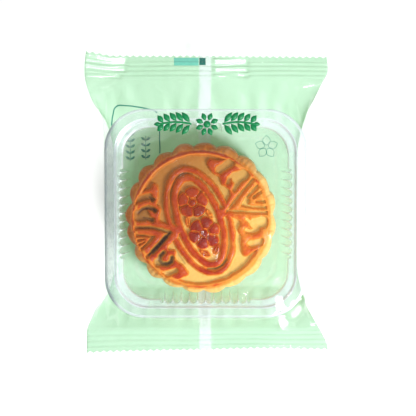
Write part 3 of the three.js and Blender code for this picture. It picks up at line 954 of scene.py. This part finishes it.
def back_shapes():
    """Generic back print: an open line round two upright sprigs, and a thin line-drawn flower."""
    corner = np.linspace(0, np.pi / 2, 8)
    bend = np.column_stack([-37.6 - 3.0 * np.sin(corner), 38.9 + 3.0 * np.cos(corner)])[::-1]
    line = [(-41.6, 33), (-41.2, 36.4), *bend, (-33, 41.6), (-28, 40.8), (-23.4, 39.8), (-21.6, 38.6)]
    stroke = [(-20.7, 31.5), (-20.8, 27.5), (-20.6, 23.5), (-20.7, 20.8)]
    lines = [ribbon_points(resampled(path), 0.55) for path in (line, stroke)]
    outlines = []
    for x, top, pairs in ((-33.6, 29.6, 5), (-26.8, 27.6, 4)):
        stem = resampled([(x, top + 1.0), (x, top - 2.6 * pairs + 0.8)])
        lines.append(ribbon_points(stem, 0.3))
        for k in range(pairs):
            for side in (1, -1):
                centre = (x + side * 1.1, top - 2.6 * k - 0.4)
                outlines.append(leaf_points(centre, math.pi / 2 - side * 0.95, 2.5, 1.1))
    flower = (26.0, 23.6)
    for k in range(5):
        turn = (k + 0.25) * 2 * math.pi / 5
        centre = (flower[0] + 2.9 * math.cos(turn), flower[1] + 2.9 * math.sin(turn))
        petal = leaf_points(centre, turn, 4.4, 3.4)
        lines.append(ribbon_points(resampled(np.vstack([petal, petal[:1]]), 0.4), 0.22))
    return outlines, lines


# Finishes

def crust_finish(colours):
    """Egg-washed crust: brown on the ridges, orange on their flanks, gold in the hollows. The upper
    left,
    away from the lamp, is darker: partly a real bake difference, partly painted shade."""
    f = Finish("baked_crust")
    level = f.attribute("level")
    on_top = f.attribute("on_top")
    mottle = f.noise(230, 4, 0.6)
    patch = f.noise(90, 2)
    fine = f.noise(1500, 3, 0.6)
    baked = (level + (mottle - 0.5) * 0.42 + (patch - 0.5) * 0.45 + (fine - 0.5) * 0.16).held()
    # Partly painted shade: colours darken towards the upper left, away from the lamp, along with a real
    # bake difference
    tone = f.remap(f.attribute("tone") + (patch - 0.5) * 0.5, -0.8, 0.8, 0.0, 1.0)
    hollow = f.mix(tone, opaque(colours.crust_olive), opaque(colours.crust_pale))
    slope = f.mix(tone, opaque(colours.crust_tan), opaque(colours.crust_gold))
    ridge = f.ramp(baked, (
        (0.46, colours.crust_gold[:3]), (0.62, colours.crust_orange[:3]), (0.84, colours.crust_red[:3]),
        (0.97, colours.crust_brown[:3]),
    ))
    floor = f.mix(f.remap(baked, 0.0, 0.28, 0.0, 1.0), hollow, slope)
    # Painted shade: near-black grooves and lines, mostly on the side away from the lamp
    groove_shadow = (f.attribute("pooled") * (0.65 + mottle * 0.7)).held()
    # Painted shade: ridges darken towards the upper left, away from the lamp
    shaded = f.mix(0.3 - tone * 0.3, ridge, opaque(colours.crust_side_dark))
    top = f.mix(f.remap(baked, 0.30, 0.50, 0.0, 1.0), floor, shaded)
    top = f.mix(groove_shadow, top, opaque(colours.crust_groove_shade))
    # Painted shade: the fluted side darkens towards the upper left, away from the lamp
    side = f.mix((tone * 0.95 + (mottle - 0.5) * 0.8).held(), opaque(colours.crust_side_dark),
                 opaque(colours.crust_side))
    colour = f.mix(on_top, side, top)
    grain = f.bump(fine * 0.7 + f.noise(3800, 2) * 0.3, 0.00025, 0.6)
    return f.close({
        "Base Color": colour, "Roughness": f.remap(mottle, 0.3, 0.7, 0.34, 0.52),
        "Coat Weight": f.remap(level, 0.3, 0.9, 0.02, 0.28), "Coat Roughness": 0.12,
        "Specular IOR Level": 0.16, "Normal": grain,
        "Subsurface Weight": 0.06, "Subsurface Radius": (0.003, 0.0012, 0.0005),
        "Subsurface Scale": 0.4,
    })


def clear_finish(name, see, gloss, haze, bump=0.0):
    """Thin clear plastic: a faint white mirror that strengthens at a glance, over open air. A bump
    adds soft waves, and fine crinkles where the attribute crinkled says so."""
    f = Finish(name)
    wavy = f.noise(150, 2)
    alpha = (see + f.facing(0.28) ** 2.2 * 0.5 + (wavy - 0.5) * see * 0.5).held()
    inputs = {
        "Base Color": (1, 1, 1, 1), "Metallic": 1 - haze, "Roughness": gloss, "Alpha": alpha,
    }
    if bump:
        crinkles = f.noise(560, 1, 0.4, (1, 0.09, 1)) * f.attribute("crinkled")
        inputs["Normal"] = f.bump(wavy + crinkles * 13.0, bump)
    return f.close(inputs)


def tray_finish():
    """Clear tray plastic: barely there on the flat, whitened where it bends, partly with painted
    highlight, and painted shade greys the flange on the side away from the lamp."""
    f = Finish("clear_tray")
    wavy = f.noise(260, 2)
    alpha = (f.attribute("frost") * (wavy * 0.7 + 0.6) + f.facing(0.3) ** 3 * 0.12).held()
    return f.close({
        "Base Color": f.mix(f.attribute("dim"), (0.80, 0.88, 0.90, 1), (0.34, 0.41, 0.43, 1)),
        "Metallic": 0.2, "Roughness": 0.3, "Alpha": alpha,
        "Normal": f.bump(wavy, 0.0003, 0.5),
    })


def printed_finish(colours):
    """Printed film: mint ink, left bare along the fin seal, with a soft gloss. Its faint glow stands
    for the light that comes through it and off the crust."""
    f = Finish("printed_film")
    cloud = f.noise(45)
    bare = f.attribute("bare")
    mint = f.mix(cloud, opaque(colours.film_green), opaque(colours.film_green_deep))
    colour = f.mix(bare, mint, opaque(colours.film_bare))
    alpha = f.remap(bare, 0.0, 1.0, 0.82, 0.6)
    return f.close({
        "Base Color": colour, "Roughness": 0.38, "Alpha": alpha, "Specular IOR Level": 0.14,
        "Emission Color": (0.06, 0.13, 0.03, 1), "Emission Strength": 1.0,
        "Normal": f.bump(f.noise(220, 2), 0.0004),
    })


def plain_finish(name, colour, shade, noise, more):
    """One colour broken by a faint cloud of a darker shade of it."""
    f = Finish(name)
    deep = tuple(shade * share for share in colour[:3])
    return f.close({"Base Color": f.mix(f.noise(*noise), opaque(colour), opaque(deep)), **more})


# Settings and operators

def colour_setting(label, *rgb):
    return bpy.props.FloatVectorProperty(
        name=label, subtype="COLOR", size=3, min=0, max=1, default=srgb(*rgb))


def number_setting(label, default, unit="POWER"):
    return bpy.props.FloatProperty(name=label, unit=unit, default=default, min=0)


class MooncakeColours(bpy.types.PropertyGroup):
    """Colours of the cake, the film and the print."""

    crust_brown: colour_setting("Crowns of the ridges", 138, 20, 0)
    crust_red: colour_setting("Ridges", 174, 40, 2)
    crust_orange: colour_setting("Flanks of the ridges", 214, 92, 20)
    crust_gold: colour_setting("Slopes", 236, 152, 56)
    # Partly painted shade: slopes on the side away from the lamp
    crust_tan: colour_setting("Slopes on the darker side", 204, 118, 42)
    crust_pale: colour_setting("Hollows", 232, 196, 106)
    # Partly painted shade: hollows on the side away from the lamp
    crust_olive: colour_setting("Hollows on the darker side", 176, 118, 50)
    # Painted shade for the grooves and lines away from the lamp
    crust_groove_shade: colour_setting("Burnt grooves", 72, 50, 40)
    crust_side: colour_setting("Fluted side", 250, 204, 124)
    # Painted shade: the fluted side and the ridges away from the lamp
    crust_side_dark: colour_setting("Fluted side where darker", 178, 98, 32)
    film_green: colour_setting("Printed film", 188, 216, 199)
    film_green_deep: colour_setting("Clouds in the print", 174, 206, 187)
    film_bare: colour_setting("Strip without print", 206, 215, 220)
    mark_green: colour_setting("Front mark", 0, 146, 82)
    back_green: colour_setting("Back print", 46, 150, 128)
    field_green: colour_setting("Field in the seal", 120, 214, 190)
    block_green: colour_setting("Block in the seal", 24, 118, 104)


class MooncakeSizes(bpy.types.PropertyGroup):
    """Thicknesses that a user would change."""

    film_wall: number_setting("Film", FILM_WALL * MM, "LENGTH")
    tray_wall: number_setting("Tray", TRAY_WALL * MM, "LENGTH")
    fin_wall: number_setting("Fin seal", FIN_WALL * MM, "LENGTH")
    ink_wall: number_setting("Print", INK_WALL * MM, "LENGTH")


class StageSettings(bpy.types.PropertyGroup):
    """Floor and lights."""

    floor: colour_setting("Floor", 250, 251, 250)
    key: number_setting("Key light", 2.95)
    fill: number_setting("Fill light", 1.25)
    glint: number_setting("Small lamp that the film mirrors", 0.5)
    sky: number_setting("Even room light", 0.31, "NONE")


class MOONCAKE_OT_cake(bpy.types.Operator):
    """Build the baked mooncake"""

    bl_idname = "mooncake.cake"
    bl_label = "Mooncake"

    def execute(self, context):
        points, levels, on_top, groove_shades = cake_surface()
        rings, segments = levels.shape
        placed = place_cake(points).reshape(-1, 3)
        crown = placed[:segments].mean(axis=0)
        base = np.append(placed[-segments:, :2].mean(axis=0), CAKE_BOTTOM)
        count = rings * segments
        faces = [
            grid_faces(rings, segments, ring=True)[:, ::-1],
            fan_faces(count, 0, segments),
            fan_faces(count + 1, count - segments, segments, upward=False),
        ]
        points = np.vstack([placed, crown, base])
        make_piece(
            "mooncake", points, faces,
            crust_finish(context.scene.mooncake_colours),
            {
                "level": np.append(levels, [levels[0].mean(), 0]),
                "on_top": np.append(on_top, [1, 0]),
                "pooled": np.append(groove_shades, [0, 0]),
                # Painted shade and bake difference: rises towards the lamp at the lower right
                "tone": (points[:, 0] - points[:, 1]) / LIT_SIDE_REACH,
            },
            shadow=True,
        )
        return {"FINISHED"}


class MOONCAKE_OT_tray(bpy.types.Operator):
    """Build the clear thermoformed tray"""

    bl_idname = "mooncake.tray"
    bl_label = "Tray"

    def execute(self, context):
        walls, frost_and_sheen_rows = tray_sheet()
        rings = np.concatenate([walls, tray_floor_rings(walls[-1])])
        rows, columns = rings.shape[:2]
        middle = np.array([*TRAY_CENTRE, TRAY_FLOOR])
        points = np.vstack([rings.reshape(-1, 3), middle])
        faces = [
            grid_faces(rows, columns, ring=True),
            fan_faces(rows * columns, (rows - 1) * columns, columns),
        ]
        frost = np.full(len(points), 0.02)
        frost[:frost_and_sheen_rows.size] = frost_and_sheen_rows.reshape(-1)
        # Painted shade: the left flange, away from the lamp, is greyer and more opaque
        dim = smooth((-37.5 - points[:, 0]) / 3) * smooth((points[:, 2] - 17) / 1.5)
        make_piece("tray", points, faces, tray_finish(),
                   {"frost": frost + 0.14 * dim, "dim": dim}, context.scene.mooncake_sizes.tray_wall)
        return {"FINISHED"}


class MOONCAKE_OT_sleeve(bpy.types.Operator):
    """Build the film sleeve: clear front, printed back and the fin seal under it"""

    bl_idname = "mooncake.sleeve"
    bl_label = "Film sleeve"

    def execute(self, context):
        sizes = context.scene.mooncake_sizes
        clear, printed, fin = sheet(clear_point), sheet(printed_point), fin_strip()
        make_piece(
            "clear_film", clear, [grid_faces(*clear.shape[:2])],
            clear_finish("clear_film", see=0.019, gloss=0.08, haze=0.1, bump=0.00007),
            {"crinkled": crinkled(clear[..., 0], clear[..., 1])}, sizes.film_wall)
        bare = smooth((FIN_HALF_WIDTH + 0.1 - np.abs(printed[..., 0] - FIN_X)) / 0.2)
        make_piece(
            "printed_film", printed, [grid_faces(*printed.shape[:2])[:, ::-1]],
            printed_finish(context.scene.mooncake_colours), {"bare": bare},
            sizes.film_wall)
        make_piece(
            "fin_seal", fin, [grid_faces(*fin.shape[:2])[:, ::-1]],
            clear_finish("fin_film", see=0.3, gloss=0.2, haze=0.8),
            wall=sizes.fin_wall, offset=1.0, shadow=True)
        return {"FINISHED"}


class MOONCAKE_OT_print(bpy.types.Operator):
    """Lay the generic front mark and back print on the film"""

    bl_idname = "mooncake.print"
    bl_label = "Print"

    def execute(self, context):
        colours = context.scene.mooncake_colours
        inks = (
            ("front_mark", mark_shapes(), clear_point, FRONT_LIFT, colours.mark_green),
            ("back_print", back_shapes(), printed_point, BACK_LIFT, colours.back_green),
            ("seal_field", block_shapes(-14.2, -3.6, 59, 44), printed_point, BACK_LIFT,
             colours.field_green),
            ("seal_block", block_shapes(-3.3, -0.6, 59.2, 12), printed_point, BACK_LIFT,
             colours.block_green),
        )
        for name, shapes, sheet_point, lift, colour in inks:
            points, faces = laid_shapes(*shapes, lambda x, y: lie_on(sheet_point, x, y, lift))
            ink = plain_finish(name, colour, 0.8, (700, 3, 0.6), {"Roughness": 0.35})
            make_piece(name, points, faces, ink,
                       wall=context.scene.mooncake_sizes.ink_wall, offset=1.0)
        return {"FINISHED"}


TARGET = (0.43, -2.4, 10.0)
CAMERA_DISTANCE = 700.0
CAMERA_TILT = math.radians(4.5)
VIEW_WIDTH = 180.0
FLOOR_HALF = 2400.0
SENSOR = 36.0
# Square softboxes aimed at the pack: setting that holds the power, place and side
SOFTBOXES = (
    ("key", (310, -250, 410), 190), ("fill", (-190, 340, 640), 820), ("glint", (130, -190, 700), 80),
)
LIGHT_TARGET = (0, 0, 10)


class MOONCAKE_OT_stage(bpy.types.Operator):
    """Lay the pale floor and set the soft lights and the camera"""

    bl_idname = "mooncake.stage"
    bl_label = "Stage"

    def execute(self, context):
        scene = context.scene
        settings = scene.mooncake_stage
        corners = np.array([(-1, -1, 0), (1, -1, 0), (1, 1, 0), (-1, 1, 0)]) * FLOOR_HALF * MM
        mesh = bpy.data.meshes.new("floor")
        mesh.from_pydata(corners.tolist(), [], [(0, 1, 2, 3)])
        soft = {"Roughness": 0.9, "Specular IOR Level": 0.1,
                "Emission Color": (1, 1, 1, 1), "Emission Strength": 0.12}
        mesh.materials.append(plain_finish("pale_floor", settings.floor, 0.985, (9, 2), soft))
        floor = bpy.data.objects.new("floor", mesh)
        scene.collection.objects.link(floor)
        for setting, place, side in SOFTBOXES:
            light = bpy.data.lights.new(f"{setting}_light", "AREA")
            light.size = side * MM
            light.energy = getattr(settings, setting)
            box = bpy.data.objects.new(f"{setting}_light", light)
            box.location = Vector(place) * MM
            aim = Vector(LIGHT_TARGET) * MM - box.location
            box.rotation_euler = aim.to_track_quat("-Z", "Y").to_euler()
            scene.collection.objects.link(box)
        world = bpy.data.worlds.new("room")
        world.use_nodes = True
        background = world.node_tree.nodes["Background"]
        background.inputs["Color"].default_value = (1, 1, 1, 1)
        background.inputs["Strength"].default_value = settings.sky
        scene.world = world
        scene.view_settings.view_transform = "Standard"
        camera_data = bpy.data.cameras.new("camera")
        camera_data.sensor_width = SENSOR
        camera_data.lens = SENSOR * CAMERA_DISTANCE / VIEW_WIDTH
        camera_data.clip_start, camera_data.clip_end = 0.01, 20
        camera = bpy.data.objects.new("camera", camera_data)
        back = Vector((0, math.sin(CAMERA_TILT), math.cos(CAMERA_TILT)))
        camera.location = (Vector(TARGET) + back * CAMERA_DISTANCE) * MM
        camera.rotation_euler = (-CAMERA_TILT, 0, 0)
        scene.collection.objects.link(camera)
        scene.camera = camera
        return {"FINISHED"}


class MOONCAKE_PT_panel(bpy.types.Panel):
    """Lists the parts of the pack in the sidebar"""

    bl_label = "Wrapped Mooncake"
    bl_idname = "MOONCAKE_PT_panel"
    bl_space_type = "VIEW_3D"
    bl_region_type = "UI"
    bl_category = "Mooncake"

    def draw(self, context):
        for group in SETTINGS.values():
            holder = getattr(context.scene, group)
            for key in holder.__annotations__:
                self.layout.prop(holder, key)
        for part in OPERATORS:
            self.layout.operator(part.bl_idname)


SETTINGS = {
    MooncakeColours: "mooncake_colours",
    MooncakeSizes: "mooncake_sizes",
    StageSettings: "mooncake_stage",
}
OPERATORS = (
    MOONCAKE_OT_cake, MOONCAKE_OT_tray, MOONCAKE_OT_sleeve, MOONCAKE_OT_print, MOONCAKE_OT_stage)


def register():
    for kind in (*SETTINGS, *OPERATORS, MOONCAKE_PT_panel):
        bpy.utils.register_class(kind)
    for kind, name in SETTINGS.items():
        setattr(bpy.types.Scene, name, bpy.props.PointerProperty(type=kind))


def unregister():
    for name in SETTINGS.values():
        delattr(bpy.types.Scene, name)
    for kind in (MOONCAKE_PT_panel, *OPERATORS, *SETTINGS):
        bpy.utils.unregister_class(kind)


def main():
    register()
    bpy.ops.mooncake.stage()
    bpy.ops.mooncake.cake()
    bpy.ops.mooncake.tray()
    bpy.ops.mooncake.sleeve()
    bpy.ops.mooncake.print()


if __name__ == "__main__":
    main()
